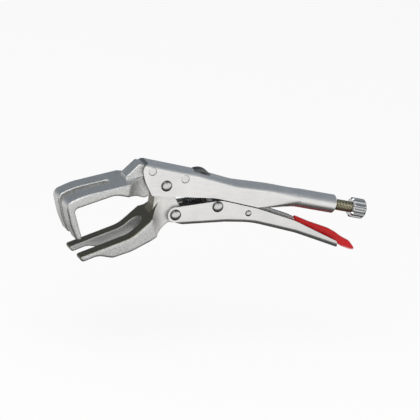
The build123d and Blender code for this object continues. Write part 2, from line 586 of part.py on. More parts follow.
def spring_path():
    """Edges of the spring's wire: front hook, coil and rear hook, from its hook pivot along X."""
    ring, coil = SPRING_RING_RADIUS, (SPRING_DIA - SPRING_WIRE) / 2

    def on_ring(angle):
        turn = math.radians(angle)
        return Vector(ring * math.cos(turn), 0, ring * math.sin(turn))

    def on_coil(turns):
        turn = 2 * math.pi * turns
        place = Vector(coil_start + SPRING_PITCH * turns, coil * math.sin(turn), -coil * math.cos(turn))
        way = Vector(SPRING_PITCH, 2 * math.pi * coil * math.cos(turn), 2 * math.pi * coil * math.sin(turn))
        return place, way.normalized()

    along = Vector(1, 0, 0)
    ring_end = on_ring(SPRING_RING_END)
    ring_middle = on_ring((SPRING_RING_START + SPRING_RING_END) / 2)
    edges = [Edge.make_three_point_arc(on_ring(SPRING_RING_START), ring_middle, ring_end)]
    leg_end = ring_end + along * SPRING_LEG
    edges.append(Edge.make_line(ring_end, leg_end))
    coil_start = leg_end.X + SPRING_LEAD
    first, last = SPRING_LEAD_TURN, SPRING_TURNS + SPRING_LEAD_TURN
    edges += biarc(leg_end, along, *on_coil(first))
    steps = ARCS_A_TURN * SPRING_TURNS
    for i in range(steps):
        here, there = (first + (last - first) * k / steps for k in (i, i + 1))
        edges += biarc(*on_coil(here), *on_coil(there))
    coil_end, way = on_coil(last)
    leg_start = Vector(coil_end.X + coil, SPRING_HOOK_RADIUS, 0)
    edges += biarc(coil_end, way, leg_start, along)
    reach = (SPRING_SEAT - SPRING_HOOK).length
    corner = math.sqrt(SPRING_HOOK_INSIDE**2 - (SPRING_TAB_WIDTH / 2) ** 2)
    hook_x = reach + SHEET / 2 + SPRING_HOOK_CLEAR - corner
    near, far = Vector(hook_x, SPRING_HOOK_RADIUS, 0), Vector(hook_x, -SPRING_HOOK_RADIUS, 0)
    edges.append(Edge.make_line(leg_start, near))
    edges.append(Edge.make_three_point_arc(near, Vector(hook_x + SPRING_HOOK_RADIUS, 0, 0), far))
    edges.append(Edge.make_line(far, far - along * SPRING_HOOK_END))
    return Wire(edges)


def least_gap(path):
    """Least gap of the spring's wire to itself, measured on points along its path."""
    count = int(path.length / GAP_STEP)
    points = [path.position_at(i / count) for i in range(count + 1)]
    apart = int(GAP_APART * SPRING_WIRE / GAP_STEP)
    nearest = min(
        (points[i] - points[j]).length for i in range(count + 1) for j in range(i + apart, count + 1)
    )
    return nearest - SPRING_WIRE


def jaw_spring():
    path = spring_path()
    print("spring: least gap to itself", round(least_gap(path), 2), "mm")
    start = Plane(origin=path.position_at(0), z_dir=path.tangent_at(0))
    wire = sweep(RegularPolygon(SPRING_WIRE / 2, WIRE_SIDES).face().moved(start.location), path=path)
    way = (SPRING_SEAT - SPRING_HOOK).normalized()
    return wire.moved(Plane(origin=SPRING_HOOK, x_dir=way, z_dir=(-way.Z, 0, way.X)).location)


def build():
    """Every piece of the tool by name, measured from the jaw pivot."""
    pieces = {
        "upper_handle": upper_handle(),
        "fixed_jaw": fixed_jaw(),
        "lower_jaw": lower_jaw(),
        "lower_handle": lower_handle(),
        "toggle_link": toggle_link(),
        "release_lever": release_lever(),
        "lever_sleeve": lever_sleeve(),
        "adjusting_screw": adjusting_screw(),
        "adjusting_knob": adjusting_knob(),
        "jaw_spring": jaw_spring(),
        "jaw_pivot_rivet": rivet(Vector(0, 0, 0), JAW_PIN_DIA, OUTER_WIDTH, HEAD_DIA, HEAD_HEIGHT),
        "handle_pivot_rivet": rivet(HANDLE_PIVOT, HANDLE_PIN_DIA, OUTER_WIDTH, HEAD_DIA, HEAD_HEIGHT),
        "link_rivet": rivet(LINK_PIVOT, LINK_PIN_DIA, OUTER_WIDTH, HEAD_DIA, HEAD_HEIGHT),
        "lever_rivet": rivet(LEVER_PIVOT, LEVER_PIN_DIA, OUTER_WIDTH, LEVER_HEAD_DIA, LEVER_HEAD_HEIGHT),
    }
    for name, spot in FLUSH_RIVETS.items():
        pieces[f"fixed_jaw_rivet_{name}"] = cross_pin(spot, FLUSH_RIVET_DIA, OUTER_WIDTH)
    return pieces


def main():
    os.makedirs("parts", exist_ok=True)
    pieces = build()
    boxes = [piece.bounding_box() for piece in pieces.values()]
    middle_x = (min(b.min.X for b in boxes) + max(b.max.X for b in boxes)) / 2
    ground_z = min(b.min.Z for b in boxes)
    stand = Location((-middle_x, 0, -ground_z))
    for name, piece in pieces.items():
        export_step(piece.moved(stand), f"parts/{name}.step")
    spots = {
        "jaw pivot": Vector(0, 0, 0), "handle pivot": HANDLE_PIVOT, "link pivot": LINK_PIVOT,
        "lever pivot": LEVER_PIVOT, "tube end": TUBE_END, "spring hook": SPRING_HOOK, "screw tip": SCREW_TIP,
    }
    for name, spot in spots.items():
        print(name, "X", round(spot.X - middle_x, 3), "Z", round(spot.Z - ground_z, 3))


main()
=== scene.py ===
import json
import math

import bmesh
import bpy
from mathutils import Matrix, Vector


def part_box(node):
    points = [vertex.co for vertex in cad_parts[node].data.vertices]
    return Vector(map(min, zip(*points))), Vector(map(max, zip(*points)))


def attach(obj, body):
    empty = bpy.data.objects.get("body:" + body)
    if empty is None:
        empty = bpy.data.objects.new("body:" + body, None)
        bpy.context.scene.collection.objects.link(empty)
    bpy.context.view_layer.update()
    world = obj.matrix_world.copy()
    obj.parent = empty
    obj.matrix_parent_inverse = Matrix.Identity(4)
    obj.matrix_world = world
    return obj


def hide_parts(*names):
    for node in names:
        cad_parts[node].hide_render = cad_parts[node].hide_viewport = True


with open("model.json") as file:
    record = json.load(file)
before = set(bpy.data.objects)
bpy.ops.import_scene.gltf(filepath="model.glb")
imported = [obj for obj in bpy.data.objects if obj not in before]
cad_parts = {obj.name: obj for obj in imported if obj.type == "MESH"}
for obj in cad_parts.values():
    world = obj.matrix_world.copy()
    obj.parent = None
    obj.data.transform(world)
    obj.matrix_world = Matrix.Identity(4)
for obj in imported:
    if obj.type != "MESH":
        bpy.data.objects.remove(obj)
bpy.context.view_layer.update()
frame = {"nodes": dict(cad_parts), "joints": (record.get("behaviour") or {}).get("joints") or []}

bl_info = {
    "name": "Locking pliers with U-shaped jaws",
    "version": (1, 0, 0),
    "blender": (4, 5, 0),
    "location": "View3D > Sidebar > Pliers",
    "description": "Dresses the packed solids of locking pliers: plated sheet, forged jaws, rivets, "
                   "screw, knob, spring and sleeve",
    "category": "Object",
}

MM = 0.001
WHITE = (1.0, 1.0, 1.0, 1.0)

# Kinds of node that are used most
MATH = "ShaderNodeMath"
RANGE = "ShaderNodeMapRange"
NOISE = "ShaderNodeTexNoise"
MIX = "ShaderNodeMix"
MARK = "ShaderNodeAttribute"

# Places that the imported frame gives
JOINT = {joint["name"]: joint for joint in frame["joints"]}
SCREW_AXIS = Vector(JOINT["knob_turn"]["axis"]).normalized()
TUBE_END = Vector(JOINT["knob_turn"]["pos_m"])
SPRING_HOOK = Vector(JOINT["spring_swing"]["pos_m"])
FRAME_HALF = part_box("upper_handle")[1].y

# Points that are one, faces that are flat, and seams of what the node trees make
WELD = 0.001 * MM
FLAT = math.radians(0.4)
SEAM = 0.002 * MM

# Degrees between faces above which an edge is left sharp
SHARP = {"sheet": 50, "soft": 60, "rivet": 50, "thread": 70, "knob": 40, "wire": 70}

# Marks on the lower jaw and on the sleeve: ground flats, a painted dark reflection and a painted highlight
GROUND_FROM = -64 * MM      # where the lower jaw's forged skin gives way to ground flats
GROUND_FULL = -52 * MM
REFLECTION_WAY = Vector((-0.7, 0, 0.71))     # faces that look up and forward get the painted dark reflection
REFLECTION_FROM = 0.35           # lean towards that way
REFLECTION_FULL = 0.72
HIGHLIGHT_FULL = 0.9 * MM        # height above the sleeve's lower outline up to which the painted highlight is full
HIGHLIGHT_END = 1.9 * MM
HIGHLIGHT_REACH = 16 * MM        # back from the sleeve's tip
HIGHLIGHT_STEP = 1 * MM          # of the lower outline

# Waves in the forged faces
WAVE_WIDTH = 9 * MM
WAVE_DEPTH = 2              # layers of finer waves
SMOOTH_SHARE = 0.5          # of each smoothing pass

# Where the frame's channel turns into the tube
CHANNEL_HALF = 7.0 * MM     # half the inside width
TUBE_RADIUS = 8.3 * MM
TUBE_LENGTH = 36 * MM
TUBE_START = TUBE_END - SCREW_AXIS * TUBE_LENGTH
NECK_TOP = Vector((41.1, 0, 63.74)) * MM
NECK_WAY = Vector((0.9906, 0, -0.1368))
NECK_DEPTH = 18.98 * MM
NECK_BEND = 4.5 * MM        # rounding along the roof
NECK_EDGE = 0.2 * MM        # rounding along the open side
NECK_CUTS = 16
NECK_REACH = 0.8 * MM       # how far a flat face lies from the round one
NECK_START_MATCH = 0.003    # share of the neck's length
NECK_SPARE = 0.01           # share of its length past each end
NECK_STEP = 0.01 * MM       # over which the skin's slope is taken
NECK_WELD = 0.03 * MM
NECK_SLIVER = 0.01 * MM

# Bridge lanced out of the roof
BRIDGE_MIDDLE = Vector((-16.5, 0, 76.36)) * MM
BRIDGE_FALL = -0.2857       # slope of the roof there
BRIDGE_LENGTH = 17.5 * MM
BRIDGE_WIDTH = 8.6 * MM     # with some room
BRIDGE_STEP = 0.25 * MM     # least height over the roof

# Cut edges of the pressed pieces
CUT_TILT = 0.2              # sideways lean of a cut edge's face
CUT_MATCH = 0.05 * MM
CUT_ANGLE = math.radians(38)    # sharper edges are rounded over
CUT_SEGMENTS = 2
EDGE_SLOT = 1               # material slots
LANCED_SLOT = 2
FLAT_WEIGHT = 100           # pull of the large faces on the shading of the rounded edges

# Thread, knob, rivet heads and wire
CLOSED_ROW = 0.0005         # share of a length in which the first and last rows lie
THREAD_ROWS = 10            # along one pitch
THREAD_SEGMENTS = 49
THREAD_FLANK = {"From Min": 0.07, "From Max": 0.43}     # in turns, from the root up to the crest
KNOB_ROWS = 72
KNOB_SEGMENTS = 193
KNOB_BEVEL = 1.4 * MM
KNOB_DOME = 4.4 * MM        # length of the domed end
DOME_POWER = 2.6
FLUTE_FLANK = {"From Min": 0.14, "From Max": 0.36}      # in flutes, from the rib down to the hollow
FLUTE_FADE = {"From Max": 0.75, "To Min": 1.0, "To Max": 0.0}   # along the domed end
HEAD_ROWS = 22
HEAD_SEGMENTS = 49
HEAD_FACE = 0.9             # share of the rows on a head's face, before its rim
# Fade from the head's face into the painted shade on its rim
HEAD_SHINE = {"From Min": 0.62, "From Max": 0.82, "To Min": 1.0, "To Max": 0.0}
RIM_DROP = 0.6 * MM         # from the rim into the sheet
SHANK_SHARE = 0.6           # of the head's radius
SHANK_SIDES = 32
DOMED_RIM = 0.7 * MM        # height over the sheet
LEVER_RIM = 0.4 * MM
FLUSH_RIM = -0.28 * MM
FLUSH_HEIGHT = 0.06 * MM
DOMED_ROUND = 2.2           # power of the head's outline
FLUSH_ROUND = 9.0
WIRE_SIDES = 12

# Size of each finish's pattern, in millimetres
BRUSH_MARK = 0.5            # about 0.1 on the real plate, coarser here so that it shows
PLATE_CLOUD = 18
BLAST_PIT = 0.8             # about 0.3 on the real forging, coarser here so that it shows
FORGED_CLOUD = 14
CUT_SPOT = 0.8
LANCED_SPOT = 1.5
FLUSH_SPOT = 1.5
RIVET_SPOT = 1.2
KNOB_SPOT = 1.4
WIRE_SPOT = 2.0
ZINC_FILM = 2.5
VINYL_PEEL = 1.6
VINYL_DRIFT = 12
FLOOR_MOTTLE = 400
BRUSH_DRAW = (0.03, 1.0, 1.0)   # draws the marks out along the tool

# How strongly each pattern shows in colour, in roughness and in relief
BRUSH_SHOW = {"From Min": 0.72, "From Max": 1.25}
PIT_SHOW = {"From Min": 0.34, "From Max": 0.6}
# How much the forging's grit breaks up the painted dark reflection
REFLECTION_SHOW = {"To Min": 1.0, "To Max": 0.82}
VINYL_SHOW = {"From Min": 0.5, "From Max": 0.8, "To Max": 0.35}
SPOT_SHADE = 0.72
SHEET_ROUGH = {"To Min": 0.30, "To Max": 0.42}
FORGED_ROUGH = {"To Min": 0.36, "To Max": 0.5}
CUT_ROUGH = {"To Min": 0.4, "To Max": 0.6}
LANCED_ROUGH = {"To Min": 0.35, "To Max": 0.5}
FLUSH_ROUGH = {"To Min": 0.3, "To Max": 0.45}
RIVET_ROUGH = {"To Min": 0.16, "To Max": 0.30}
KNOB_ROUGH = {"To Min": 0.2, "To Max": 0.34}
WIRE_ROUGH = {"To Min": 0.25, "To Max": 0.42}
ZINC_ROUGH = {"To Min": 0.28, "To Max": 0.48}
VINYL_ROUGH = {"To Min": 0.28, "To Max": 0.42}
FLOOR_ROUGH = {"To Min": 0.82, "To Max": 0.92}
BRUSH_BUMP = {"Strength": 0.10, "Distance": 0.05 * MM}
PIT_BUMP = {"Strength": 0.5, "Distance": 0.5 * MM}
SPOT_BUMP = {"Strength": 0.15, "Distance": 0.05 * MM}
PEEL_BUMP = {"Strength": 0.18, "Distance": 0.12 * MM}
METAL = {"Metallic": 1.0}
VINYL = {"IOR": 1.53, "Specular IOR Level": 0.35}
PAINT = {"Specular IOR Level": 0.1}
FLOOR_GLOW = 0.8            # share of its own light where it is seen straight
# Painted shade under the tool, seen only in metal
FLOOR_SHADE_STRIP = {"From Min": 130 * MM, "From Max": 260 * MM, "To Min": 0.08}  # grey in metal, from the middle

# The photograph's view
CAMERA_AIM = Vector((-0.0028, 0.0, 0.03983))
CAMERA_BACK = Vector((-0.3814, -0.8619, 0.3339))
CAMERA_RIGHT = Vector((0.9242, -0.3628, 0.1191))
CAMERA_DISTANCE = 8.0
CAMERA_WIDTH = 0.3717


def linear(hex_colour):
    """Linear colour of an sRGB hex value."""
    shares = [int(hex_colour[i:i + 2], 16) / 255 for i in (0, 2, 4)]
    return tuple(c / 12.92 if c <= 0.04045 else ((c + 0.055) / 1.055) ** 2.4 for c in shares)


def colour(hex_colour, name, description):
    """Colour property of a finish."""
    return bpy.props.FloatVectorProperty(
        name=name, description=description, default=linear(hex_colour),
        subtype="COLOR", size=3, min=0, max=1,
    )


def length(millimetres, name, description):
    """Length property of a piece, in metres."""
    return bpy.props.FloatProperty(
        name=name, description=description, default=millimetres * MM,
        unit="LENGTH", subtype="DISTANCE", min=0,
    )


def count(number, name, description):
    """Whole number property of a piece."""
    return bpy.props.IntProperty(name=name, description=description, min=1, default=number)


class PliersFinish(bpy.types.PropertyGroup):
    """Colours of the finishes."""
    sheet: colour("F3F2F0", "Sheet", "Nickel plate on the pressed handles")
    sheet_worn: colour("E0DFDD", "Sheet scratches", "Plate between its brush marks")
    # Darker cut edges: partly duller sheared steel, partly painted shade
    cut_edge_and_shade: colour("9A9B9B", "Cut edges", "Sheared edges of the sheet")
    # Painted shade on the lanced bridge
    lanced: colour("6A6C6E", "Lanced bridge", "Stretched plate on the lanced bridge")
    forged: colour("E6E6E4", "Forging", "Plate over the forged jaws")
    ground: colour("F0EEEA", "Ground flats", "Flats ground bright round the jaw pivots")
    forged_dark: colour("B2B2AF", "Forging pits", "Hollows of the forged surface")
    # Painted dark reflection on the faces of the lower jaw that look up and forward
    painted_dark_reflection: colour("5D5842", "Forge scale", "Scale left on the upper faces of the lower jaw")
    rivet: colour("D2D1CF", "Rivets", "Headed rivets")
    # Painted shade round the rim of each rivet head
    rivet_rim_shade: colour("4A4A49", "Rivet rims", "Dirt and oxide round the rivet heads")
    screw: colour("CBC6AC", "Screw", "Zinc on the thread")
    # Darker in the thread's roots
    screw_root: colour("625D47", "Thread root", "Grease and dirt between the threads")
    knob: colour("D8D8D8", "Knob", "Bright plate on the fluted knob")
    wire: colour("8C8E92", "Wire", "Drawn spring wire")
    vinyl: colour("C20A10", "Sleeve", "Dipped vinyl on the release lever")
    vinyl_worn: colour("CC2A2C", "Sleeve wear", "Vinyl where it has been rubbed")
    # Painted highlight along the sleeve's lower edge under the tip
    vinyl_highlight: colour("E9A3A0", "Sleeve edge", "Vinyl where it has run thin under the tip")
    floor: colour("F9F9F9", "Floor", "Studio floor")


class PliersSizes(bpy.types.PropertyGroup):
    """Sizes of the pieces that are made here."""
    edge: length(0.45, "Sheet edge", "Rounding of the pressed sheet's edges")
    voxel: length(0.6, "Forging grain", "Step of the mesh on the forged jaws")
    soften: count(9, "Forged rounding", "Smoothing passes over the forged edges")
    uneven: length(0.22, "Forged unevenness", "Height of the waves in the forged faces")
    sleeve_voxel: length(0.35, "Sleeve grain", "Step of the mesh on the sleeve")
    sleeve_soften: count(7, "Sleeve rounding", "Smoothing passes over the sleeve")
    head: length(10.0, "Rivet head", "Diameter of the main rivets' heads")
    head_height: length(2.35, "Rivet height", "Height of the main rivets' heads")
    lever_head: length(5.6, "Lever rivet head", "Diameter of the lever rivet's heads")
    lever_head_height: length(1.3, "Lever rivet height", "Height of the lever rivet's heads")
    flush_head: length(7.4, "Flush rivet", "Diameter of the flush rivets")
    thread_pitch: length(1.5, "Thread pitch", "Advance of the screw in one turn")
    thread_depth: length(0.92, "Thread depth", "From the crest to the root of the thread")
    screw_dia: length(10.0, "Screw", "Diameter over the thread")
    knob_dia: length(18.0, "Knob", "Diameter over the knob")
    flute_depth: length(1.15, "Flute depth", "Depth of the knob's flutes")
    flutes: count(12, "Flutes", "Number of flutes round the knob")
    wire_dia: length(1.0, "Wire", "Diameter of the spring's wire")
    coil_dia: length(6.4, "Coil", "Outside diameter of the coil")
    coils: count(14, "Coils", "Turns of the spring")


def feed(tree, node, inputs):
    """Sets a node's inputs to plain values, or links them from a socket or a node's first output in use."""
    for key, value in inputs.items():
        if isinstance(value, bpy.types.Node):
            value = next(socket for socket in value.outputs if socket.enabled)
        if isinstance(value, bpy.types.NodeSocket):
            tree.links.new(value, node.inputs[key])
        else:
            node.inputs[key].default_value = value


def add(tree, kind, inputs=None, **settings):
    """A node with its settings, its values and the links into it."""
    node = tree.nodes.new(kind)
    for name, value in settings.items():
        setattr(node, name, value)
    feed(tree, node, inputs or {})
    return node


def new_material(name):
    """Empty node material with a principled shader, its tree, and the object coordinates in metres."""
    material = bpy.data.materials.new(name)
    material.use_nodes = True
    tree = material.node_tree
    tree.nodes.clear()
    shader = add(tree, "ShaderNodeBsdfPrincipled")
    add(tree, "ShaderNodeOutputMaterial", {"Surface": shader})
    place = add(tree, "ShaderNodeTexCoord").outputs["Object"]
    return material, tree, shader, place


def rgba(value):
    """Opaque colour of a linear tone."""
    return (*value, 1.0)


def ramp(value, start, full):
    """0 up to a start, 1 from a full value on, and a straight line between."""
    return min(max((value - start) / (full - start), 0), 1)


def per_metre(millimetres):
    """Scale of a pattern whose features are a number of millimetres across."""
    return 1 / (millimetres * MM)


def surface(tree, shader, tone, layers, sheen, roughness, relief=None, values=METAL):
    """Gives a shader a tone with others laid over it by shares, a roughness by a pattern, and a relief."""
    tint = rgba(tone)
    for share, over in layers:
        tint = add(tree, MIX, {"Factor": share, "A": tint, "B": rgba(over)}, data_type="RGBA")
    rough = add(tree, RANGE, {"Value": sheen, **roughness})
    feed(tree, shader, {"Base Color": tint, "Roughness": rough, **values})
    if relief:
        feed(tree, shader, {"Normal": add(tree, "ShaderNodeBump", relief)})


def light_paths(tree):
    """What a ray is, and 1 for a ray by which metal or glass shows a thing."""
    rays = add(tree, "ShaderNodeLightPath").outputs
    either = {0: rays["Is Glossy Ray"], 1: rays["Is Transmission Ray"]}
    return rays, add(tree, MATH, either, operation="MAXIMUM")


def sheet_steel(finish):
    """Pressed sheet with satin nickel plate: bright, with fine lines along the tool and a soft sheen."""
    material, tree, shader, place = new_material("satin_nickel_sheet_steel")
    drawn = add(tree, "ShaderNodeMapping", {"Vector": place, "Scale": BRUSH_DRAW})
    grain = {"Vector": drawn, "Scale": per_metre(BRUSH_MARK), "Detail": 3.0, "Roughness": 0.6}
    lines = add(tree, NOISE, grain)
    clouds = add(tree, NOISE, {"Vector": place, "Scale": per_metre(PLATE_CLOUD), "Detail": 3.0})
    both = add(tree, MATH, {0: lines, 1: clouds}, operation="ADD")
    rubbed = add(tree, RANGE, {"Value": both, **BRUSH_SHOW})
    layers = [(rubbed, finish.sheet)]
    surface(tree, shader, finish.sheet_worn, layers, clouds, SHEET_ROUGH, {"Height": lines, **BRUSH_BUMP})
    return material


def forged_steel(finish):
    """Drop forging, blasted and plated: grainy grey, bright on ground flats, with a painted dark reflection
    on faces that look up and forward.
    """
    material, tree, shader, place = new_material("plated_forged_steel")
    grain = {"Vector": place, "Scale": per_metre(BLAST_PIT), "Detail": 4.0, "Roughness": 0.7}
    grit = add(tree, NOISE, grain)
    clouds = add(tree, NOISE, {"Vector": place, "Scale": per_metre(FORGED_CLOUD), "Detail": 2.0})
    high = add(tree, RANGE, {"Value": grit, **PIT_SHOW})
    flats = add(tree, MARK, attribute_name="ground").outputs["Fac"]
    # Faces of the lower jaw that look up and forward get a painted dark reflection, broken up by the grit
    left = add(tree, MARK, attribute_name="painted_reflection").outputs["Fac"]
    reflection_grit = add(tree, RANGE, {"Value": grit, **REFLECTION_SHOW})
    reflection_share = add(tree, MATH, {0: left, 1: reflection_grit}, operation="MULTIPLY")
    layers = [(high, finish.forged), (flats, finish.ground), (reflection_share, finish.painted_dark_reflection)]
    surface(tree, shader, finish.forged_dark, layers, clouds, FORGED_ROUGH, {"Height": grit, **PIT_BUMP})
    return material


def turned_steel(name, tone, roughness, spot):
    """Plated small part: a plain metal tone whose sheen breaks up in spots of a number of millimetres."""
    material, tree, shader, place = new_material(name)
    spots = add(tree, NOISE, {"Vector": place, "Scale": per_metre(spot), "Detail": 3.0})
    darker = [SPOT_SHADE * c for c in tone]
    surface(tree, shader, darker, [(spots, tone)], spots, roughness, {"Height": spots, **SPOT_BUMP})
    return material


def rivet_steel(finish):
    """Headed rivet: a bright dome with a dark rim of painted shade, by the head's own attribute."""
    material, tree, shader, place = new_material("plated_rivet_steel")
    dome = add(tree, MARK, attribute_name="dome").outputs["Fac"]
    spots = add(tree, NOISE, {"Vector": place, "Scale": per_metre(RIVET_SPOT), "Detail": 3.0})
    # Painted shade on the rim, the rivet's own tone on the dome
    layers = [(dome, finish.rivet)]
    surface(tree, shader, finish.rivet_rim_shade, layers, spots, RIVET_ROUGH, {"Height": spots, **SPOT_BUMP})
    return material


def zinc_thread(finish):
    """Yellowed zinc on a rolled thread: bright crests and darker roots, by the thread's own attribute."""
    material, tree, shader, place = new_material("zinc_plated_thread_steel")
    crest = add(tree, MARK, attribute_name="crest").outputs["Fac"]
    film = add(tree, NOISE, {"Vector": place, "Scale": per_metre(ZINC_FILM), "Detail": 3.0})
    surface(tree, shader, finish.screw_root, [(crest, finish.screw)], film, ZINC_ROUGH)
    return material


def red_vinyl(finish):
    """Dip-moulded vinyl: even red, softly glossy, slightly orange-peeled, with a painted highlight along
    the lower edge under the tip.
    """
    material, tree, shader, place = new_material("dipped_red_vinyl")
    peel = add(tree, NOISE, {"Vector": place, "Scale": per_metre(VINYL_PEEL), "Detail": 2.0})
    drift = add(tree, NOISE, {"Vector": place, "Scale": per_metre(VINYL_DRIFT), "Detail": 3.0})
    rubbed = add(tree, RANGE, {"Value": drift, **VINYL_SHOW})
    # Painted highlight along the lower edge under the tip
    painted_highlight = add(tree, MARK, attribute_name="painted_highlight").outputs["Fac"]
    layers = [(rubbed, finish.vinyl_worn), (painted_highlight, finish.vinyl_highlight)]
    surface(tree, shader, finish.vinyl, layers, drift, VINYL_ROUGH, {"Height": peel, **PEEL_BUMP}, VINYL)
    return material


def painted_floor(finish):
    """Matt white studio floor: pale, with a faint mottling and the object's soft shadow."""
    material, tree, shader, place = new_material("matt_white_studio_floor")
    mottle = add(tree, NOISE, {"Vector": place, "Scale": per_metre(FLOOR_MOTTLE)})
    surface(tree, shader, finish.floor, [], mottle, FLOOR_ROUGH, values=PAINT)
    # Seen straight it mostly shines by itself, and in metal it is white with a grey strip of painted shade
    # under the tool
    rays, mirrored = light_paths(tree)
    across = add(tree, "ShaderNodeSeparateXYZ", {0: place}).outputs["Y"]
    off = add(tree, MATH, {0: across}, operation="ABSOLUTE")
    strip = add(tree, RANGE, {"Value": off, **FLOOR_SHADE_STRIP}, interpolation_type="SMOOTHSTEP")
    level = add(tree, MIX, {"Factor": mirrored, "A": 1.0, "B": strip}, data_type="FLOAT")
    glow = add(tree, "ShaderNodeEmission", {"Color": WHITE, "Strength": level})
    own = add(tree, MATH, {0: rays["Is Camera Ray"], 1: FLOOR_GLOW}, operation="MULTIPLY")
    share = add(tree, MATH, {0: own, 1: mirrored}, operation="MAXIMUM")
    both = add(tree, "ShaderNodeMixShader", {0: share, 1: shader, 2: glow})
    feed(tree, tree.nodes["Material Output"], {"Surface": both})
    return material


def new_object(name, data):
    """Object with its data, in the scene and at the origin."""
    obj = bpy.data.objects.new(name, data)
    bpy.context.scene.collection.objects.link(obj)
    return obj


def merged_copy(node):
    """Mesh of a CAD node with its loose triangles joined and its flat faces whole."""
    bm = bmesh.new()
    bm.from_mesh(frame["nodes"][node].data)
    bmesh.ops.remove_doubles(bm, verts=bm.verts, dist=WELD)
    bmesh.ops.dissolve_limit(bm, angle_limit=FLAT, verts=bm.verts, edges=bm.edges)
    mesh = bpy.data.meshes.new(node + "_merged")
    bm.to_mesh(mesh)
    bm.free()
    mesh.materials.clear()
    return mesh


def baked(obj):
    """The object with its modifiers turned into plain mesh."""
    bpy.context.view_layer.update()
    shaped = obj.evaluated_get(bpy.context.evaluated_depsgraph_get())
    mesh = bpy.data.meshes.new_from_object(shaped)
    obj.modifiers.clear()
    name = obj.name
    if obj.type == "MESH":
        obj.data = mesh
    else:
        bpy.data.objects.remove(obj)
        obj = new_object(name, mesh)
    return obj


def finished(obj, body, nodes, material, sharp, level=False):
    """Gives a piece its finish, faces smooth up to the edges above an angle, its body and its nodes."""
    mesh = obj.data
    if not mesh.polygons:
        raise RuntimeError(obj.name + " has no faces")
    if material not in list(mesh.materials):
        mesh.materials.clear()
        mesh.materials.append(material)
    bm = bmesh.new()
    bm.from_mesh(mesh)
    bmesh.ops.recalc_face_normals(bm, faces=bm.faces)
    bm.to_mesh(mesh)
    bm.free()
    mesh.shade_smooth()
    mesh.set_sharp_from_angle(angle=math.radians(sharp))
    mesh.update()
    if level:
        # Large flat faces shade flat, up to their rounded edges
        flat = obj.modifiers.new("Flat faces", "WEIGHTED_NORMAL")
        flat.keep_sharp = True
        flat.weight = FLAT_WEIGHT
        obj = baked(obj)
    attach(obj, body)
    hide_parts(*nodes)
    return obj


def neck_share(point):
    """Share of the way from the channel's end to the tube's start, below 0 ahead and above 1 behind."""
    past = (point - NECK_TOP).dot(NECK_WAY)
    ahead = (TUBE_START - point).dot(SCREW_AXIS)
    return past / (past + ahead)


def neck_skin(point):
    """Distance of a point from the skin of the neck, whose section turns from a channel into a circle."""
    share = min(max(neck_share(point), 0), 1)
    eased = share * share * (3 - 2 * share)
    front_up = Vector((-NECK_WAY.z, 0, NECK_WAY.x))
    rear_up = Vector((-SCREW_AXIS.z, 0, SCREW_AXIS.x))
    middle = (NECK_TOP - front_up * (NECK_DEPTH / 2)).lerp(TUBE_START, share)
    up = (point - middle).dot(front_up.lerp(rear_up, share).normalized())
    corner = NECK_BEND if up > 0 else NECK_EDGE
    corner += (TUBE_RADIUS - corner) * eased
    out = abs(point.y) - FRAME_HALF - (TUBE_RADIUS - FRAME_HALF) * eased + corner
    over = abs(up) - NECK_DEPTH / 2 - (TUBE_RADIUS - NECK_DEPTH / 2) * eased + corner
    return math.hypot(max(out, 0), max(over, 0)) + min(max(out, over), 0) - corner


def on_neck_start(point):
    """Whether a point lies on the skin in the first section of the neck."""
    return abs(neck_share(point)) < NECK_START_MATCH and abs(neck_skin(point)) < NECK_REACH


def rounded_neck(mesh):
    """Cuts the flat faces between channel and tube across, and lays their points on a smooth skin."""
    bm = bmesh.new()
    bm.from_mesh(mesh)
    for i in range(1, NECK_CUTS):
        share = i / NECK_CUTS
        bmesh.ops.bisect_plane(
            bm, geom=bm.verts[:] + bm.edges[:] + bm.faces[:], dist=WELD,
            plane_co=NECK_TOP.lerp(TUBE_START, share), plane_no=NECK_WAY.lerp(SCREW_AXIS, share),
        )
    for vert in bm.verts:
        away = neck_skin(vert.co)
        if -NECK_SPARE < neck_share(vert.co) < 1 + NECK_SPARE and abs(away) < NECK_REACH:
            nudges = [axis * NECK_STEP for axis in Matrix.Identity(3)]
            slope = Vector([neck_skin(vert.co + nudge) - away for nudge in nudges]) / NECK_STEP
            vert.co -= slope * away
    bmesh.ops.remove_doubles(bm, verts=bm.verts, dist=NECK_WELD)
    bmesh.ops.dissolve_degenerate(bm, edges=bm.edges, dist=NECK_SLIVER)
    # Slivers that stood across the step at the neck's start join the faces behind them
    slivers = {f for f in bm.faces if all(on_neck_start(v.co) for v in f.verts)}
    joins = []
    for edge in bm.edges:
        beside = [f for f in edge.link_faces if f not in slivers]
        behind = any(neck_share(f.calc_center_median()) > 0 for f in beside)
        if behind and len(beside) < len(edge.link_faces):
            joins.append(edge)
    bmesh.ops.dissolve_edges(bm, edges=joins)
    bm.to_mesh(mesh)
    bm.free()


def on_bridge(spot):
    """Whether a place is on the strip that stands up out of the roof."""
    along = spot.x - BRIDGE_MIDDLE.x
    over = spot.z - BRIDGE_MIDDLE.z - BRIDGE_FALL * along
    return abs(along) < BRIDGE_LENGTH / 2 and abs(spot.y) < BRIDGE_WIDTH / 2 and over > BRIDGE_STEP


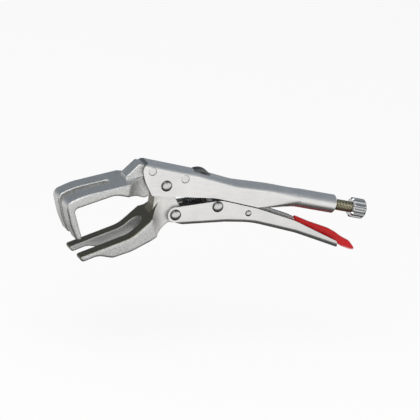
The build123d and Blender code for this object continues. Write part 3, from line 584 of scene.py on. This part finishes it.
def rounded_sheet(node, body, materials, width):
    """Copy of a pressed piece with its cut edges rounded over and darker than its faces: partly duller
    sheared steel, partly painted shade.
    """
    obj = new_object(node + "_pressed", merged_copy(node))
    for material in materials:
        obj.data.materials.append(material)
    if node == "upper_handle":
        rounded_neck(obj.data)
    for face in obj.data.polygons:
        inmost = min(abs(obj.data.vertices[i].co.y) for i in face.vertices)
        # Cut edges get the darker grey: partly duller sheared steel, partly painted shade
        if abs(face.normal.y) < CUT_TILT and inmost > CHANNEL_HALF - CUT_MATCH:
            face.material_index = EDGE_SLOT
        # The lanced bridge gets a dark grey of painted shade
        if node == "upper_handle" and on_bridge(face.center):
            face.material_index = LANCED_SLOT
    bevel = obj.modifiers.new("Cut edges", "BEVEL")
    bevel.width = width
    bevel.segments = CUT_SEGMENTS
    bevel.limit_method = "ANGLE"
    bevel.angle_limit = CUT_ANGLE
    bevel.use_clamp_overlap = True
    bevel.material = EDGE_SLOT
    return finished(baked(obj), body, [node], materials[0], SHARP["sheet"], level=True)


def softened(node, body, slot, material, voxel, passes, uneven=0.0):
    """Copy of a solid with its edges rounded by remeshing and smoothing, and its faces slightly uneven."""
    obj = new_object(node + "_soft", merged_copy(node))
    grain = obj.modifiers.new("Grain", "REMESH")
    grain.mode = "VOXEL"
    grain.voxel_size = voxel
    smooth = obj.modifiers.new("Edges", "SMOOTH")
    smooth.factor = SMOOTH_SHARE
    smooth.iterations = passes
    if uneven > 0:
        waves = bpy.data.textures.new(node + "_waves", "CLOUDS")
        waves.noise_scale = WAVE_WIDTH
        waves.noise_depth = WAVE_DEPTH
        push = obj.modifiers.new("Waves", "DISPLACE")
        push.texture = waves
        push.texture_coords = "LOCAL"
        push.strength = uneven
        push.mid_level = 0.5
    return finished(baked(obj), body, [node], material, SHARP["soft"])


def rule_tree(name, numbers, wholes=()):
    """Geometry node tree with named inputs for its sizes, its input sockets and its output node."""
    tree = bpy.data.node_groups.new(name, "GeometryNodeTree")
    tree.interface.new_socket("Geometry", in_out="INPUT", socket_type="NodeSocketGeometry")
    for labels, kind in ((numbers, "NodeSocketFloat"), (wholes, "NodeSocketInt")):
        for label in labels:
            tree.interface.new_socket(label, in_out="INPUT", socket_type=kind)
    tree.interface.new_socket("Geometry", in_out="OUTPUT", socket_type="NodeSocketGeometry")
    return tree, tree.nodes.new("NodeGroupInput").outputs, tree.nodes.new("NodeGroupOutput")


def run_tree(obj, tree, values):
    """Puts a tree on an object, sets its inputs by identifier and turns the result into plain mesh."""
    modifier = obj.modifiers.new(tree.name, "NODES")
    modifier.node_group = tree
    for item in tree.interface.items_tree:
        if item.in_out == "INPUT" and item.name in values:
            modifier[item.identifier] = values[item.name]
    return baked(obj)


def end_tree(tree, output, geometry, material):
    """Joins the seam, sets the material and ends a tree."""
    joined = add(tree, "GeometryNodeMergeByDistance", {"Geometry": geometry, "Distance": SEAM})
    plain = add(tree, "GeometryNodeRealizeInstances", {"Geometry": joined})
    dressed = add(tree, "GeometryNodeSetMaterial", {"Geometry": plain, "Material": material})
    feed(tree, output, {0: dressed})


def rolled_grid(tree, rows, segments):
    """Grid whose X is a share of a length and Y a share of a turn, with both shares from 0 to 1."""
    grid = add(
        tree, "GeometryNodeMeshGrid",
        {"Size X": 1.0, "Size Y": 1.0, "Vertices X": rows, "Vertices Y": segments},
    )
    place = add(tree, "ShaderNodeSeparateXYZ", {0: add(tree, "GeometryNodeInputPosition")}).outputs
    share = add(tree, MATH, {0: place["X"], 1: 0.5}, operation="ADD")
    turn = add(tree, MATH, {0: place["Y"], 1: 0.5}, operation="ADD")
    return grid, share, turn


def roll(tree, mesh, radius, turn, along):
    """Sets a grid round the Z axis at a radius and height for each of its points."""
    angle = add(tree, MATH, {0: turn, 1: 2 * math.pi}, operation="MULTIPLY")
    cosine = add(tree, MATH, {0: angle}, operation="COSINE")
    sine = add(tree, MATH, {0: angle}, operation="SINE")
    x = add(tree, MATH, {0: cosine, 1: radius}, operation="MULTIPLY")
    y = add(tree, MATH, {0: sine, 1: radius}, operation="MULTIPLY")
    place = add(tree, "ShaderNodeCombineXYZ", {"X": x, "Y": y, "Z": along})
    return add(tree, "GeometryNodeSetPosition", {"Geometry": mesh, "Position": place})


def open_ends(tree, share):
    """1 on every row of a grid except its first and last, which close to a point."""
    after = add(tree, MATH, {0: share, 1: CLOSED_ROW}, operation="GREATER_THAN")
    before = add(tree, MATH, {0: share, 1: 1 - CLOSED_ROW}, operation="LESS_THAN")
    return add(tree, MATH, {0: after, 1: before}, operation="MULTIPLY")


def thread_tree(material):
    """Rod with a screw thread: the radius falls and rises with the turn and the distance along."""
    tree, given, output = rule_tree(
        "threaded_rod", ("Length", "Radius", "Pitch", "Depth"), ("Rows", "Segments"),
    )
    mesh, share, turn = rolled_grid(tree, given["Rows"], given["Segments"])
    along = add(tree, MATH, {0: share, 1: given["Length"]}, operation="MULTIPLY")
    turns = add(tree, MATH, {0: along, 1: given["Pitch"]}, operation="DIVIDE")
    phase = add(tree, MATH, {0: turns, 1: turn}, operation="ADD")
    wave = add(tree, MATH, {0: phase, 1: 0.5}, operation="PINGPONG")
    crest = add(tree, RANGE, {"Value": wave, **THREAD_FLANK})
    sink = add(tree, MATH, {0: 1.0, 1: crest}, operation="SUBTRACT")
    cut = add(tree, MATH, {0: sink, 1: given["Depth"]}, operation="MULTIPLY")
    radius = add(tree, MATH, {0: given["Radius"], 1: cut}, operation="SUBTRACT")
    ended = add(tree, MATH, {0: radius, 1: open_ends(tree, share)}, operation="MULTIPLY")
    marked = add(
        tree, "GeometryNodeStoreNamedAttribute", {"Geometry": mesh, "Name": "crest", "Value": crest},
        data_type="FLOAT", domain="POINT",
    )
    end_tree(tree, output, roll(tree, marked, ended, turn, along), material)
    return tree


def knob_tree(material):
    """Turned knob: bevelled front, fluted wall and domed end, with the flutes dying out on the dome."""
    tree, given, output = rule_tree(
        "fluted_knob", ("Length", "Radius", "Bevel", "Dome", "Depth"), ("Flutes",),
    )
    mesh, share, turn = rolled_grid(tree, KNOB_ROWS, KNOB_SEGMENTS)
    along = add(tree, MATH, {0: share, 1: given["Length"]}, operation="MULTIPLY")
    front = add(tree, RANGE, {"Value": along, "From Max": given["Bevel"]})
    wall = add(tree, MATH, {0: given["Length"], 1: given["Dome"]}, operation="SUBTRACT")
    end = add(tree, RANGE, {"Value": along, "From Min": wall, "From Max": given["Length"]})
    back = add(tree, MATH, {0: 1.0, 1: front}, operation="SUBTRACT")
    drop = add(tree, MATH, {0: back, 1: given["Bevel"]}, operation="MULTIPLY")
    body = add(tree, MATH, {0: given["Radius"], 1: drop}, operation="SUBTRACT")
    bent = add(tree, MATH, {0: end, 1: DOME_POWER}, operation="POWER")
    rest = add(tree, MATH, {0: 1.0, 1: bent}, operation="SUBTRACT")
    cap = add(tree, MATH, {0: rest, 1: 0.5}, operation="POWER")
    shaped = add(tree, MATH, {0: body, 1: cap}, operation="MULTIPLY")
    angle = add(tree, MATH, {0: turn, 1: given["Flutes"]}, operation="MULTIPLY")
    wave = add(tree, MATH, {0: angle, 1: 0.5}, operation="PINGPONG")
    flute = add(tree, RANGE, {"Value": wave, **FLUTE_FLANK}, interpolation_type="SMOOTHSTEP")
    fade = add(tree, RANGE, {"Value": end, **FLUTE_FADE})
    depth = add(tree, MATH, {0: flute, 1: given["Depth"]}, operation="MULTIPLY")
    faded = add(tree, MATH, {0: depth, 1: fade}, operation="MULTIPLY")
    cut = add(tree, MATH, {0: shaped, 1: faded}, operation="SUBTRACT")
    ended = add(tree, MATH, {0: cut, 1: open_ends(tree, share)}, operation="MULTIPLY")
    end_tree(tree, output, roll(tree, mesh, ended, turn, along), material)
    return tree


def rivet_tree(material):
    """Rivet heads with their half shanks, one on each point, facing the way that the point's side says."""
    tree, given, output = rule_tree(
        "rivet_heads", ("Radius", "Height", "Rim", "Roundness", "Shank Radius", "Shank Length"),
    )
    mesh, share, turn = rolled_grid(tree, HEAD_ROWS, HEAD_SEGMENTS)
    # The last rows run down the rim to the sheet
    reach = add(tree, RANGE, {"Value": share, "From Max": HEAD_FACE})
    radius = add(tree, MATH, {0: reach, 1: given["Radius"]}, operation="MULTIPLY")
    bent = add(tree, MATH, {0: reach, 1: given["Roundness"]}, operation="POWER")
    dome = add(tree, RANGE, {"Value": bent, "To Min": given["Height"], "To Max": given["Rim"]})
    under = add(tree, RANGE, {"Value": share, "From Min": HEAD_FACE, "To Max": RIM_DROP})
    height = add(tree, MATH, {0: dome, 1: under}, operation="SUBTRACT")
    # 1 on the head's face, falling to 0 where the painted rim shade lies
    shine = add(tree, RANGE, {"Value": share, **HEAD_SHINE}, interpolation_type="SMOOTHSTEP")
    marked = add(
        tree, "GeometryNodeStoreNamedAttribute", {"Geometry": mesh, "Name": "dome", "Value": shine},
        data_type="FLOAT", domain="POINT",
    )
    head = roll(tree, marked, radius, turn, height)
    shank = add(
        tree, "GeometryNodeMeshCylinder",
        {"Vertices": SHANK_SIDES, "Radius": given["Shank Radius"], "Depth": given["Shank Length"]},
    )
    down = add(tree, MATH, {0: given["Shank Length"], 1: -0.5}, operation="MULTIPLY")
    low = add(tree, "ShaderNodeCombineXYZ", {"Z": down})
    shank = add(tree, "GeometryNodeTransform", {"Geometry": shank, "Translation": low})
    both = add(tree, "GeometryNodeJoinGeometry")
    for part in (head, shank):
        feed(tree, both, {0: part})
    side = add(tree, "GeometryNodeInputNamedAttribute", {"Name": "side"}, data_type="FLOAT")
    tilt = add(tree, MATH, {0: side, 1: -math.pi / 2}, operation="MULTIPLY")
    facing = add(tree, "ShaderNodeCombineXYZ", {"X": tilt})
    heads = add(
        tree, "GeometryNodeInstanceOnPoints",
        {"Points": given["Geometry"], "Instance": both, "Rotation": facing},
    )
    end_tree(tree, output, heads, material)
    return tree


def wire_tree(material):
    """Round wire along a curve."""
    tree, given, output = rule_tree("round_wire", ("Diameter",), ("Sides",))
    radius = add(tree, MATH, {0: given["Diameter"], 1: 0.5}, operation="MULTIPLY")
    ring = add(tree, "GeometryNodeCurvePrimitiveCircle", {"Resolution": given["Sides"], "Radius": radius})
    tube = add(
        tree, "GeometryNodeCurveToMesh",
        {"Curve": given["Geometry"], "Profile Curve": ring, "Fill Caps": True},
    )
    end_tree(tree, output, tube, material)
    return tree


def along_screw(distance):
    """Placement on the screw's axis, at a distance behind the end of the tube."""
    turn = SCREW_AXIS.to_track_quat("Z", "Y").to_matrix().to_4x4()
    return Matrix.Translation(TUBE_END + SCREW_AXIS * distance) @ turn


def screw_reach(node):
    """Lowest and highest distance of a node along the screw's axis, behind the end of the tube."""
    spots = [(v.co - TUBE_END).dot(SCREW_AXIS) for v in frame["nodes"][node].data.vertices]
    return min(spots), max(spots)


class PLIERS_OT_sheet(bpy.types.Operator):
    """Plated sheet: both handles, the release lever's plate and the toggle link"""
    bl_idname = "pliers.sheet"
    bl_label = "Pressed pieces"

    def execute(self, context):
        finish = context.scene.pliers_finish
        materials = (
            sheet_steel(finish),
            turned_steel("sheared_edge_and_shade_steel", finish.cut_edge_and_shade, CUT_ROUGH, CUT_SPOT),
            turned_steel("lanced_bridge_shade_steel", finish.lanced, LANCED_ROUGH, LANCED_SPOT),
        )
        width = context.scene.pliers_sizes.edge
        for node, body in (
            ("upper_handle", "frame"), ("lower_handle", "lower_handle"),
            ("release_lever", "release_lever"), ("toggle_link", "toggle_link"),
        ):
            rounded_sheet(node, body, materials, width)
        return {"FINISHED"}


class PLIERS_OT_jaws(bpy.types.Operator):
    """Forged jaws with rounded edges and uneven faces"""
    bl_idname = "pliers.jaws"
    bl_label = "Forged jaws"

    def execute(self, context):
        sizes = context.scene.pliers_sizes
        material = forged_steel(context.scene.pliers_finish)
        look = ("forged_steel", material, sizes.voxel, sizes.soften, sizes.uneven)
        softened("fixed_jaw", "frame", *look)
        lower = softened("lower_jaw", "lower_jaw", *look)
        points = lower.data.vertices
        # Ground flats by place, and a painted dark reflection by the way each face looks
        marks = {
            "painted_reflection": [ramp(v.normal.dot(REFLECTION_WAY), REFLECTION_FROM, REFLECTION_FULL) for v in points],
            "ground": [ramp(v.co.x, GROUND_FROM, GROUND_FULL) for v in points],
        }
        for name, values in marks.items():
            lower.data.attributes.new(name, "FLOAT", "POINT").data.foreach_set("value", values)
        return {"FINISHED"}


class PLIERS_OT_rivets(bpy.types.Operator):
    """Domed heads of the pivot rivets and the flush rivets of the fixed jaw"""
    bl_idname = "pliers.rivets"
    bl_label = "Rivets"

    def execute(self, context):
        sizes = context.scene.pliers_sizes
        finish = context.scene.pliers_finish
        plated = rivet_steel(finish)
        flush = turned_steel("plated_flush_rivet_steel", finish.sheet, FLUSH_ROUGH, FLUSH_SPOT)
        trees = {material.name: rivet_tree(material) for material in (plated, flush)}
        domed = (sizes.head, sizes.head_height, DOMED_RIM, DOMED_ROUND)
        small = (sizes.lever_head, sizes.lever_head_height, LEVER_RIM, DOMED_ROUND)
        level = (sizes.flush_head, FLUSH_HEIGHT, FLUSH_RIM, FLUSH_ROUND)
        groups = (
            ("jaw_rivet_heads", "frame", ["jaw_pivot_rivet"], plated, domed),
            ("handle_rivet_heads", "lower_handle", ["handle_pivot_rivet", "link_rivet"], plated, domed),
            ("lever_rivet_heads", "lower_handle", ["lever_rivet"], plated, small),
            ("flush_rivet_heads", "frame", ["fixed_jaw_rivet_front", "fixed_jaw_rivet_rear"], flush, level),
        )
        for name, body, nodes, material, (width, height, rim, roundness) in groups:
            spots, sides = [], []
            for node in nodes:
                low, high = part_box(node)
                for way in (-1.0, 1.0):
                    spots.append(((low.x + high.x) / 2, way * FRAME_HALF, (low.z + high.z) / 2))
                    sides.append(way)
            mesh = bpy.data.meshes.new(name)
            mesh.from_pydata(spots, [], [])
            mesh.attributes.new("side", "FLOAT", "POINT").data.foreach_set("value", sides)
            obj = run_tree(new_object(name, mesh), trees[material.name], {
                "Radius": width / 2, "Height": height, "Rim": rim, "Roundness": roundness,
                "Shank Radius": SHANK_SHARE * width / 2, "Shank Length": FRAME_HALF,
            })
            finished(obj, body, nodes, material, SHARP["rivet"])
        return {"FINISHED"}


class PLIERS_OT_screw(bpy.types.Operator):
    """Threaded adjusting screw"""
    bl_idname = "pliers.screw"
    bl_label = "Adjusting screw"

    def execute(self, context):
        sizes = context.scene.pliers_sizes
        material = zinc_thread(context.scene.pliers_finish)
        low, high = screw_reach("adjusting_screw")
        rows = THREAD_ROWS * round((high - low) / sizes.thread_pitch) + 1
        rod = new_object("threaded_screw", bpy.data.meshes.new("threaded_screw"))
        obj = run_tree(rod, thread_tree(material), {
            "Length": high - low, "Radius": sizes.screw_dia / 2, "Pitch": sizes.thread_pitch,
            "Depth": sizes.thread_depth, "Rows": rows, "Segments": THREAD_SEGMENTS,
        })
        obj.data.transform(along_screw(low))
        finished(obj, "adjusting_screw", ["adjusting_screw"], material, SHARP["thread"])
        return {"FINISHED"}


class PLIERS_OT_knob(bpy.types.Operator):
    """Fluted knob on the end of the screw"""
    bl_idname = "pliers.knob"
    bl_label = "Fluted knob"

    def execute(self, context):
        sizes = context.scene.pliers_sizes
        finish = context.scene.pliers_finish
        material = turned_steel("bright_plated_knob_steel", finish.knob, KNOB_ROUGH, KNOB_SPOT)
        low, high = screw_reach("adjusting_knob")
        blank = new_object("fluted_knob", bpy.data.meshes.new("fluted_knob"))
        obj = run_tree(blank, knob_tree(material), {
            "Length": high - low, "Radius": sizes.knob_dia / 2, "Bevel": KNOB_BEVEL, "Dome": KNOB_DOME,
            "Flutes": sizes.flutes, "Depth": sizes.flute_depth,
        })
        obj.data.transform(along_screw(low))
        finished(obj, "adjusting_knob", ["adjusting_knob"], material, SHARP["knob"])
        return {"FINISHED"}


class PLIERS_OT_spring(bpy.types.Operator):
    """Opening spring with a hook at each end"""
    bl_idname = "pliers.spring"
    bl_label = "Opening spring"

    RING = 2.1 * MM             # radius of the front hook
    LEG = 2.4 * MM              # straight run behind it
    LEAD = 2.2 * MM             # bend from the leg into the coil
    COIL_LENGTH = 26.4 * MM
    SEAT = Vector((46.7 * MM, 0, 12.2 * MM))    # rear hook's seat from the front hook
    REAR_RADIUS = 2.4 * MM
    REAR_PAST = 0.58 * MM       # middle of the rear hook behind its seat
    REAR_END = 2.5 * MM         # straight end
    HOOK_FROM = 60              # degrees round the front hook
    HOOK_TO = 270
    HOOK_STEPS = 24
    TURN_STEPS = 24             # of each coil
    LEAD_STEPS = 3              # left out before the first coil, and added after the last
    REAR_STEPS = 16

    def path(self, sizes):
        """Points of the wire's middle line, from the front hook along X."""
        coil = (sizes.coil_dia - sizes.wire_dia) / 2
        points = []
        for i in range(self.HOOK_STEPS + 1):
            turn = math.radians(self.HOOK_FROM + (self.HOOK_TO - self.HOOK_FROM) * i / self.HOOK_STEPS)
            points.append(Vector((self.RING * math.cos(turn), 0, self.RING * math.sin(turn))))
        start = self.LEG + self.LEAD
        steps = self.TURN_STEPS * sizes.coils
        for i in range(self.LEAD_STEPS, steps + self.LEAD_STEPS + 1):
            turn = 2 * math.pi * i / self.TURN_STEPS
            x = start + self.COIL_LENGTH * i / steps
            points.append(Vector((x, coil * math.sin(turn), -coil * math.cos(turn))))
        reach = self.SEAT.length + self.REAR_PAST
        for i in range(self.REAR_STEPS + 1):
            turn = math.pi * (0.5 - i / self.REAR_STEPS)
            x, y = reach + self.REAR_RADIUS * math.cos(turn), self.REAR_RADIUS * math.sin(turn)
            points.append(Vector((x, y, 0)))
        points.append(points[-1] - Vector((self.REAR_END, 0, 0)))
        return points

    def execute(self, context):
        sizes = context.scene.pliers_sizes
        finish = context.scene.pliers_finish
        material = turned_steel("drawn_spring_steel", finish.wire, WIRE_ROUGH, WIRE_SPOT)
        along = self.SEAT.normalized()
        place = Matrix((
            (along.x, 0, -along.z, SPRING_HOOK.x), (0, 1, 0, SPRING_HOOK.y),
            (along.z, 0, along.x, SPRING_HOOK.z), (0, 0, 0, 1),
        ))
        curve = bpy.data.curves.new("spring_wire", "CURVE")
        curve.dimensions = "3D"
        points = self.path(sizes)
        spline = curve.splines.new("NURBS")
        spline.points.add(len(points) - 1)
        for spot, point in zip(spline.points, points):
            spot.co = (*(place @ point), 1.0)
        spline.order_u = 3
        spline.use_endpoint_u = True
        spline.resolution_u = 2
        obj = run_tree(new_object("coiled_spring", curve), wire_tree(material), {
            "Diameter": sizes.wire_dia, "Sides": WIRE_SIDES,
        })
        finished(obj, "jaw_spring", ["jaw_spring"], material, SHARP["wire"])
        return {"FINISHED"}


class PLIERS_OT_sleeve(bpy.types.Operator):
    """Red sleeve on the release lever"""
    bl_idname = "pliers.sleeve"
    bl_label = "Lever sleeve"

    def execute(self, context):
        sizes = context.scene.pliers_sizes
        material = red_vinyl(context.scene.pliers_finish)
        look = ("red_vinyl", material, sizes.sleeve_voxel, sizes.sleeve_soften)
        sleeve = softened("lever_sleeve", "release_lever", *look)
        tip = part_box("lever_sleeve")[1].x
        lowest = {}
        for v in sleeve.data.vertices:
            step = round(v.co.x / HIGHLIGHT_STEP)
            lowest[step] = min(v.co.z, lowest.get(step, v.co.z))
        # Painted highlight: full just above the lower outline, fading upwards and back from the tip
        painted_highlight = [
            ramp(lowest[round(v.co.x / HIGHLIGHT_STEP)] - v.co.z, -HIGHLIGHT_END, -HIGHLIGHT_FULL)
            * ramp(v.co.x, tip - HIGHLIGHT_REACH, tip - HIGHLIGHT_REACH / 2)
            for v in sleeve.data.vertices
        ]
        sleeve.data.attributes.new("painted_highlight", "FLOAT", "POINT").data.foreach_set("value", painted_highlight)
        return {"FINISHED"}


class PLIERS_OT_stage(bpy.types.Operator):
    """Floor, soft light, world and camera"""
    bl_idname = "pliers.stage"
    bl_label = "Stage"

    FLOOR = 6.0                 # metres across
    FLOOR_DROP = 0.105          # room under the tool for the lower handle of the open pliers
    WORLD_LIGHT = 0.62
    CEILING = (0.24, 0.27, 0.305, 1.0)
    OVERHEAD = {"From Min": 0.1, "From Max": 0.6}   # upward lean at which metal sees the ceiling
    BEHIND = {"From Min": 0.1, "From Max": 0.7}     # and lean to the rear
    KEY_PLACE = Vector((-0.9, -1.3, 1.7))
    KEY_SIZE = 1.4
    KEY_POWER = 26.0

    def lay_floor(self, finish):
        """Square floor under the tool."""
        mesh = bpy.data.meshes.new("studio_floor")
        corners = [Vector(way) * self.FLOOR / 2 for way in ((-1, -1), (1, -1), (1, 1), (-1, 1))]
        mesh.from_pydata([(x, y, -self.FLOOR_DROP) for x, y in corners], [], [range(len(corners))])
        floor = new_object("studio_floor", mesh)
        mesh.materials.append(painted_floor(finish))

    def surround(self):
        """White world, in which metal sees a white wall in front and greyer ones behind and overhead."""
        world = bpy.data.worlds.new("studio_white")
        world.use_nodes = True
        tree = world.node_tree
        tree.nodes.clear()
        rays, mirrored = light_paths(tree)
        seen = add(tree, MATH, {0: rays["Is Camera Ray"], 1: mirrored}, operation="MAXIMUM")
        sight = add(tree, "ShaderNodeTexCoord").outputs["Generated"]
        way = add(tree, "ShaderNodeSeparateXYZ", {0: sight}).outputs
        high, behind = (
            add(tree, RANGE, {"Value": way[axis], **lean}, interpolation_type="SMOOTHSTEP")
            for axis, lean in (("Z", self.OVERHEAD), ("Y", self.BEHIND))
        )
        grey = add(tree, MATH, {0: high, 1: behind}, operation="MAXIMUM")
        ceiling = add(tree, MATH, {0: grey, 1: mirrored}, operation="MULTIPLY")
        tone = add(tree, MIX, {"Factor": ceiling, "A": WHITE, "B": self.CEILING}, data_type="RGBA")
        level = add(tree, RANGE, {"Value": seen, "To Min": self.WORLD_LIGHT})
        shine = add(tree, "ShaderNodeBackground", {"Color": tone, "Strength": level})
        add(tree, "ShaderNodeOutputWorld", {"Surface": shine})
        return world

    def hang_lamp(self):
        """Large soft lamp in front, on the left and above."""
        lamp = bpy.data.lights.new("key_softbox", "AREA")
        lamp.size = self.KEY_SIZE
        lamp.energy = self.KEY_POWER
        key = new_object("key_softbox", lamp)
        key.location = self.KEY_PLACE
        key.rotation_euler = (CAMERA_AIM - self.KEY_PLACE).to_track_quat("-Z", "Y").to_euler()

    def photo_camera(self):
        """Camera at the photograph's viewing angle."""
        camera = bpy.data.cameras.new("photo_camera")
        camera.lens = camera.sensor_width * CAMERA_DISTANCE / CAMERA_WIDTH
        view = new_object("photo_camera", camera)
        back = CAMERA_BACK.normalized()
        right = (CAMERA_RIGHT - back * CAMERA_RIGHT.dot(back)).normalized()
        turn = Matrix((right, back.cross(right), back)).transposed().to_4x4()
        view.matrix_world = Matrix.Translation(CAMERA_AIM + back * CAMERA_DISTANCE) @ turn
        return view

    def execute(self, context):
        scene = context.scene
        self.lay_floor(scene.pliers_finish)
        scene.world = self.surround()
        self.hang_lamp()
        scene.camera = self.photo_camera()
        scene.view_settings.view_transform = "Standard"
        return {"FINISHED"}


class PLIERS_PT_panel(bpy.types.Panel):
    """Pieces of the pliers"""
    bl_label = "Locking pliers"
    bl_idname = "PLIERS_PT_panel"
    bl_space_type = "VIEW_3D"
    bl_region_type = "UI"
    bl_category = "Pliers"

    def draw(self, context):
        scene = context.scene
        for operator in OPERATORS:
            self.layout.operator(operator.bl_idname)
        for group, holder in ((PliersSizes, scene.pliers_sizes), (PliersFinish, scene.pliers_finish)):
            for name in group.__annotations__:
                self.layout.prop(holder, name)


OPERATORS = (
    PLIERS_OT_stage, PLIERS_OT_sheet, PLIERS_OT_jaws, PLIERS_OT_rivets, PLIERS_OT_screw, PLIERS_OT_knob,
    PLIERS_OT_spring, PLIERS_OT_sleeve,
)
CLASSES = (PliersFinish, PliersSizes, *OPERATORS, PLIERS_PT_panel)


def register():
    """Makes the classes and the scene's settings known to Blender."""
    for kind in CLASSES:
        bpy.utils.register_class(kind)
    bpy.types.Scene.pliers_finish = bpy.props.PointerProperty(type=PliersFinish)
    bpy.types.Scene.pliers_sizes = bpy.props.PointerProperty(type=PliersSizes)


def unregister():
    """Takes the settings and the classes out again."""
    del bpy.types.Scene.pliers_sizes
    del bpy.types.Scene.pliers_finish
    for kind in reversed(CLASSES):
        bpy.utils.unregister_class(kind)


def main():
    """Builds the stage and every piece."""
    register()
    bpy.ops.pliers.stage()
    bpy.ops.pliers.sheet()
    bpy.ops.pliers.jaws()
    bpy.ops.pliers.rivets()
    bpy.ops.pliers.screw()
    bpy.ops.pliers.knob()
    bpy.ops.pliers.spring()
    bpy.ops.pliers.sleeve()


if __name__ == "__main__":
    main()
